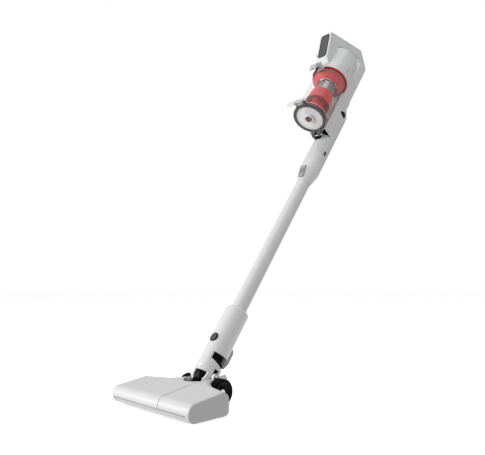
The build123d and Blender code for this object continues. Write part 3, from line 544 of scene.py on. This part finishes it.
wallRims = {"heights": (734.5, 884.0), "inner": 45.52, "outer": 45.95, "root": 1.2, "edge": 0.9, "steps": 128}
wallLine = {"heights": (737.5,), "inner": 43.1, "outer": 43.43, "root": 0.25, "edge": 0.2, "steps": 128}
wallRings = joined(hoops(wallRims) + hoops(wallLine))
seat(wallRings, "cupRims", "dust_cup", "clearLatch", cupFrame)

boss = {"mouth": 720.9, "floor": 724.6, "wall": 0.3, "rise": 0.7, "drop": 0.5,
        "rim": 9.55, "lip": 8.4, "ledge": 6.6, "well": 4.8, "bottom": 4.2}
bossBack = boss["floor"] + boss["wall"]
bossLedge = boss["floor"] - boss["rise"]
# the dish closes the boss hole; its dark red is the red inside with painted shade
dish = spun([(middleHole, boss["floor"]), (boss["bottom"], boss["floor"]), (boss["well"], bossLedge),
             (boss["ledge"], bossLedge), (boss["lip"], boss["mouth"] + boss["drop"]),
             (boss["rim"], boss["mouth"]), (boss["rim"], bossBack), (middleHole, bossBack)], 64)
seat(dish, "bossHoleShade", "cup_lid", "shadedHoleRed", cupFrame)

collar = {"steps": 72, "outline": [(10.2, 719.9), (13.0, 719.9), (14.3, 721.6), (14.6, 723.3), (13.9, 723.4),
                                   (12.9, 720.55), (10.2, 720.5)]}
collarRing = spun(collar["outline"], collar["steps"])
seat(collarRing, "bossCollar", "cup_lid", "whiteShell", cupFrame)

lidRibs = {"low": 721.55, "lift": 0.25, "inner": 38.6, "outer": 44.0, "size": (2.6, 0.9, 0.7),
           "corner": 0.3, "count": 24}
ribMiddle = ((lidRibs["inner"] + lidRibs["outer"]) / 2, 0, lidRibs["low"] + lidRibs["lift"])
ribRing = joined(around(bar(lidRibs["size"], ribMiddle, lidRibs["corner"]), lidRibs["count"]))
seat(ribRing, "lidGripRibs", "cup_lid", "gunGrey", cupFrame)
print("dust cup trim done")

# Exhaust panel: black frame and a cloth behind the slots

panel = {"foot": (150.0, 915.0), "nose": (180.0, 997.2), "width": 28.0, "length": 78.0, "gap": 0.1,
         "raised": 0.4, "thick": 0.5, "corner": 7.9, "border": 5, "openingCorner": 5.6, "edge": 0.25}
footPoint = Vector((0, -panel["foot"][0], panel["foot"][1]))
nosePoint = Vector((0, -panel["nose"][0], panel["nose"][1]))
rise = (nosePoint - footPoint).normalized()
outward = Vector((1, 0, 0)).cross(rise)
panelFrame = Matrix((
    (1, rise.x, outward.x, 0),
    (0, rise.y, outward.y, 0),
    (0, rise.z, outward.z, 0),
    (0, 0, 0, 1),
))
panelFrame.translation = (footPoint + nosePoint) / 2 * mm
frameRing = bar((panel["width"] - panel["gap"], panel["length"] - panel["gap"], panel["thick"]),
                (0, 0, panel["raised"]), panel["corner"])
opening = bar((panel["width"] - panel["border"], panel["length"] - panel["border"], 3),
              (0, 0, panel["raised"]), panel["openingCorner"])
carved(frameRing, opening)
softened(frameRing, panel["edge"])
seat(frameRing, "panelFrame", "hand_unit", "deepBlack", stickFrame @ panelFrame)

clothSheet = {"size": (21, 70, 0.4), "behind": 2.8, "corner": 3, "edge": 0.1}
cloth = bar(clothSheet["size"], (0, 0, -clothSheet["behind"]), clothSheet["corner"])
applied(cloth, "BEVEL", width=clothSheet["edge"] * mm, segments=1)
seat(cloth, "panelCloth", "hand_unit", "ventCloth", stickFrame @ panelFrame)
print("exhaust panel done")

# Hand unit: screws on the left shell, a black bar painted as shade in the status slit, dock contacts, plug
# pad and grip ribs

crossScrew = {"insetShare": 0.28, "crown": 0.12, "slotLong": 1.05, "slotWide": 0.26, "slotAt": 0.95,
              "edge": 0.08}


def screwHead(radius, depth):
    # a domed head with a cross slot, its seat at the origin
    screw = tube(radius, depth, (0, 0, depth / 2), 32)
    topPicked(screw)
    bpy.ops.mesh.inset(thickness=radius * crossScrew["insetShare"] * mm)
    bpy.ops.transform.translate(value=(0, 0, crossScrew["crown"] * mm))
    bpy.ops.object.mode_set(mode="OBJECT")
    slot = (radius * crossScrew["slotLong"], radius * crossScrew["slotWide"], depth)
    for turn in (0, math.pi / 2):
        carved(screw, bar(slot, (0, 0, depth * crossScrew["slotAt"]), turn=(0, 0, turn)))
    return softened(screw, crossScrew["edge"], 1)


def screwsAt(sizes, turned, places):
    # one screw head at each place, turned to face outwards
    screw = screwHead(sizes["radius"], sizes["depth"])
    screws = [copied(screw, Matrix.Translation(Vector(place) * mm) @ turned) for place in places]
    removed(screw)
    return joined(screws)


shellScrews = {"radius": 2.6, "depth": 0.9, "flank": -20.0, "sunk": 0.35,
               "places": [(14, 880), (14, 1035), (70, 1066), (158, 1000), (156, 930)]}
turnLeft = Matrix.Rotation(-math.pi / 2, 4, "Y")
shellPlaces = [(shellScrews["flank"] + shellScrews["sunk"], -n, h) for n, h in shellScrews["places"]]
seat(screwsAt(shellScrews, turnLeft, shellPlaces), "shellScrews", "hand_unit", "steel")

# painted shade: a black bar sunk in the slit stands in for the shade inside it
statusSlitShade = {"size": (0.5, 1.0, 22.4), "centre": (51.35, -86.1, 916.5), "edge": 0.12}
slitShade = softened(bar(statusSlitShade["size"], statusSlitShade["centre"]), statusSlitShade["edge"])
seat(slitShade, "statusSlitShade", "hand_unit", "deepBlack")

dock = {"sides": (-3.2, 3.2), "back": 27.38, "along": 767, "steps": 32,
        "outline": [(middleHole, 0), (1.5, 0), (1.5, 0.12), (1.1, 0.28), (middleHole, 0.34)]}
turnBack = Matrix.Rotation(-math.pi / 2, 4, "X")
contacts = []
for side in dock["sides"]:
    contact = spun(dock["outline"], dock["steps"])
    contact.matrix_world = Matrix.Translation(Vector((side, dock["back"], dock["along"])) * mm) @ turnBack
    contacts.append(contact)
seat(joined(contacts), "dockContacts", "hand_unit", "brass")

plug = {"size": (0.5, 7.4, 12.6), "centre": (27.05, -2.0, 665.0), "edge": 0.3}
plugPad = softened(bar(plug["size"], plug["centre"]), plug["edge"], 3)
seat(plugPad, "plugPad", "hand_unit", "sealRubber")

grip = {"rear": (64.0, 1044.5), "front": (92.0, 1023.6), "ribs": 7, "size": (22, 1.6, 1.0), "edge": 0.4}
gripRibs = []
for i in range(grip["ribs"]):
    share = i / (grip["ribs"] - 1)
    n = grip["rear"][0] + share * (grip["front"][0] - grip["rear"][0])
    h = grip["rear"][1] + share * (grip["front"][1] - grip["rear"][1])
    gripRibs.append(softened(bar(grip["size"], (0, -n, h), turn=(-leanAngle, 0, 0)), grip["edge"], 3))
seat(joined(gripRibs), "gripRibs", "hand_unit", "sealRubber")
print("hand unit trim done")

# Floor head: screws, comb, felt and pads under the sole, and the wheel trims

sole = {"underside": 3.0, "sunk": 0.25, "radius": 3.0, "depth": 0.9,
        "places": [(-98.5, 50), (98.5, 50), (-26, 62), (26, 62)]}
turnDown = Matrix.Rotation(math.pi, 4, "X")
solePlaces = [(x, -n, sole["underside"] + sole["sunk"]) for x, n in sole["places"]]
seat(screwsAt(sole, turnDown, solePlaces), "soleScrews", "floor_head", "steel", headFrame)

comb = {"front": 102.0, "half": 102.0, "teeth": 34, "size": (5.2, 1.1, 2.6), "height": 2.7, "edge": 0.3}
tooth = bar(comb["size"], (-comb["half"] + comb["size"][0] / 2, -comb["front"], comb["height"]))
softened(tooth, comb["edge"])
pitch = 2 * comb["half"] / comb["teeth"]
teeth = [tooth] + [copied(tooth, Matrix.Translation((i * pitch * mm, 0, 0))) for i in range(1, comb["teeth"])]
seat(joined(teeth), "mouthComb", "floor_head", "sealRubber", headFrame)

strip = {"size": (200, 3.0, 1.6), "centre": (0, -98.0, 2.3), "corner": 1.3, "edge": 0.35}
felt = softened(bar(strip["size"], strip["centre"], strip["corner"]), strip["edge"])
seat(felt, "mouthFeltStrip", "floor_head", "mouthFelt", headFrame)

glide = {"radius": 4.2, "depth": 1.4, "sides": (-100, 100), "front": 66, "height": 2.45, "edge": 0.4}
pads = []
for x in glide["sides"]:
    pad = tube(glide["radius"], glide["depth"], (x, -glide["front"], glide["height"]), 48)
    pads.append(softened(pad, glide["edge"], 3))
seat(joined(pads), "glidePads", "floor_head", "sealRubber", headFrame)

wheelTrim = {"centre": 25.6, "face": 51.5,
             "outline": [(6.6, 0), (10.4, 0), (10.9, 0.7), (10.2, 1.5), (7.4, 2.0), (6.6, 1.4)],
             "spokes": 5, "spokeSize": (9.2, 1.5, 1.3), "spokeMiddle": (14.9, 0, 1.5), "spokeLean": -0.33,
             "edge": 0.4}
for side, bodyName in ((1, "right_wheel"), (-1, "left_wheel")):
    hub = spun(wheelTrim["outline"])
    spoke = bar(wheelTrim["spokeSize"], wheelTrim["spokeMiddle"], turn=(0, wheelTrim["spokeLean"], 0))
    softened(spoke, wheelTrim["edge"], 3)
    trim = joined([hub] + around(spoke, wheelTrim["spokes"]))
    turnOut = Matrix.Rotation(side * math.pi / 2, 4, "Y")
    where = Matrix.Translation(Vector((side * wheelTrim["face"], 0, wheelTrim["centre"])) * mm)
    seat(trim, bodyName + "Trim", bodyName, "deepBlack", headFrame @ where @ turnOut)
print("floor head trim done")

# Brush roll: tufts in four chevron rows stand in for the plain rows

brush = {"front": 117.5, "height": 17.2, "core": 9.9, "tip": 14.0, "half": 100.0, "endGap": 1, "rows": 4,
         "perRow": 44, "twist": 1.5, "radius": 0.75, "sides": 7, "flare": 1.5, "rim": 0.25, "hollow": 0.3}
tuftMiddle = (0, 0, (brush["tip"] + brush["core"]) / 2)
tuft = tube(brush["radius"], brush["tip"] - brush["core"], tuftMiddle, brush["sides"])
topPicked(tuft)
bpy.ops.transform.resize(value=(brush["flare"], brush["flare"], 1))
bpy.ops.mesh.inset(thickness=brush["rim"] * mm)
bpy.ops.transform.translate(value=(0, 0, -brush["hollow"] * mm))
bpy.ops.object.mode_set(mode="OBJECT")
tufts = []
for row in range(brush["rows"]):
    for i in range(brush["perRow"]):
        share = i / (brush["perRow"] - 1)
        chevron = abs(share - 0.5) * 2
        angle = math.tau * row / brush["rows"] + brush["twist"] * chevron
        x = (share * 2 - 1) * (brush["half"] - brush["endGap"])
        tufts.append(copied(tuft, Matrix.Translation((x * mm, 0, 0)) @ Matrix.Rotation(angle, 4, "X")))
removed(tuft)
brushPlace = headFrame @ Matrix.Translation(Vector((0, -brush["front"], brush["height"])) * mm)
tuftRows = seat(joined(tufts), "brushTufts", "brush", "bristles", brushPlace)
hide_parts("brush_bristles")
print("brush done")

# Floor, light and camera

studio = {"floorSize": 60.0, "floorGlow": 0.64, "ambient": 0.37, "backdrop": 1.0}
fresh()
bpy.ops.mesh.primitive_plane_add(size=studio["floorSize"])
floor = bpy.context.object
floor.name = "studioFloor"
floorFinish = Finish("paleFloor", Roughness=0.75, Emission_Color=(1, 1, 1, 1),
                     Emission_Strength=studio["floorGlow"])
cloudy = floorFinish.noise(scale=0.6)
floorFinish.feed("Base Color", floorFinish.mixed(cloudy, (0.93, 0.93, 0.93), (0.95, 0.95, 0.95)))
floor.data.materials.append(floorFinish.material)
floor.visible_diffuse = False        # the floor stays white without lighting the object from below

world = bpy.data.worlds.new("studioWorld")
bpy.context.scene.world = world
world.use_nodes = True
sky = world.node_tree.nodes["Background"]
sky.inputs[0].default_value = (1, 1, 1, 1)
# the camera sees a white backdrop, and the object is lit by a dimmer one
seen = world.node_tree.nodes.new("ShaderNodeLightPath")
level = world.node_tree.nodes.new("ShaderNodeMapRange")
level.inputs["To Min"].default_value = studio["ambient"]
level.inputs["To Max"].default_value = studio["backdrop"]
world.node_tree.links.new(seen.outputs["Is Camera Ray"], level.inputs["Value"])
world.node_tree.links.new(level.outputs[0], sky.inputs[1])


def softBox(name, aim, watts, place, size):
    fresh()
    bpy.ops.object.light_add(type="AREA", location=place)
    lamp = bpy.context.object
    lamp.name = name
    lamp.data.energy = watts
    lamp.data.shape = "RECTANGLE"
    lamp.data.size, lamp.data.size_y = size
    lamp.rotation_euler = (aim - Vector(place)).to_track_quat("-Z", "Y").to_euler()


softBoxes = {
    "keyBox": {"watts": 88.0, "place": (-1.8, -2.5, 0.85), "size": (2.0, 2.2)},
    "fillBox": {"watts": 5.5, "place": (1.7, 0.1, 1.5), "size": (1.0, 1.2)},
    "topBox": {"watts": 18.0, "place": (0.2, 0.2, 2.8), "size": (2.0, 2.0)},
}
middle = (Vector(cadBox[0]) + Vector(cadBox[1])) / 2
for boxName, boxSettings in softBoxes.items():
    softBox(boxName, middle, **boxSettings)

shot = {"fromPivot": (0.77343, -0.67537, 0.17896), "looking": (-0.69718, 0.70678, 0.11999),
        "lens": 36.54, "sensor": 36}
bpy.ops.object.camera_add(location=pivot + Vector(shot["fromPivot"]))
camera = bpy.context.object
camera.rotation_euler = Vector(shot["looking"]).to_track_quat("-Z", "Y").to_euler()
camera.data.lens = shot["lens"]
camera.data.sensor_width = shot["sensor"]
camera.data.clip_start = 0.01
camera.data.clip_end = 100
bpy.context.scene.camera = camera
bpy.context.scene.view_settings.view_transform = "Standard"
bpy.context.scene.view_settings.look = "None"
print("studio done")
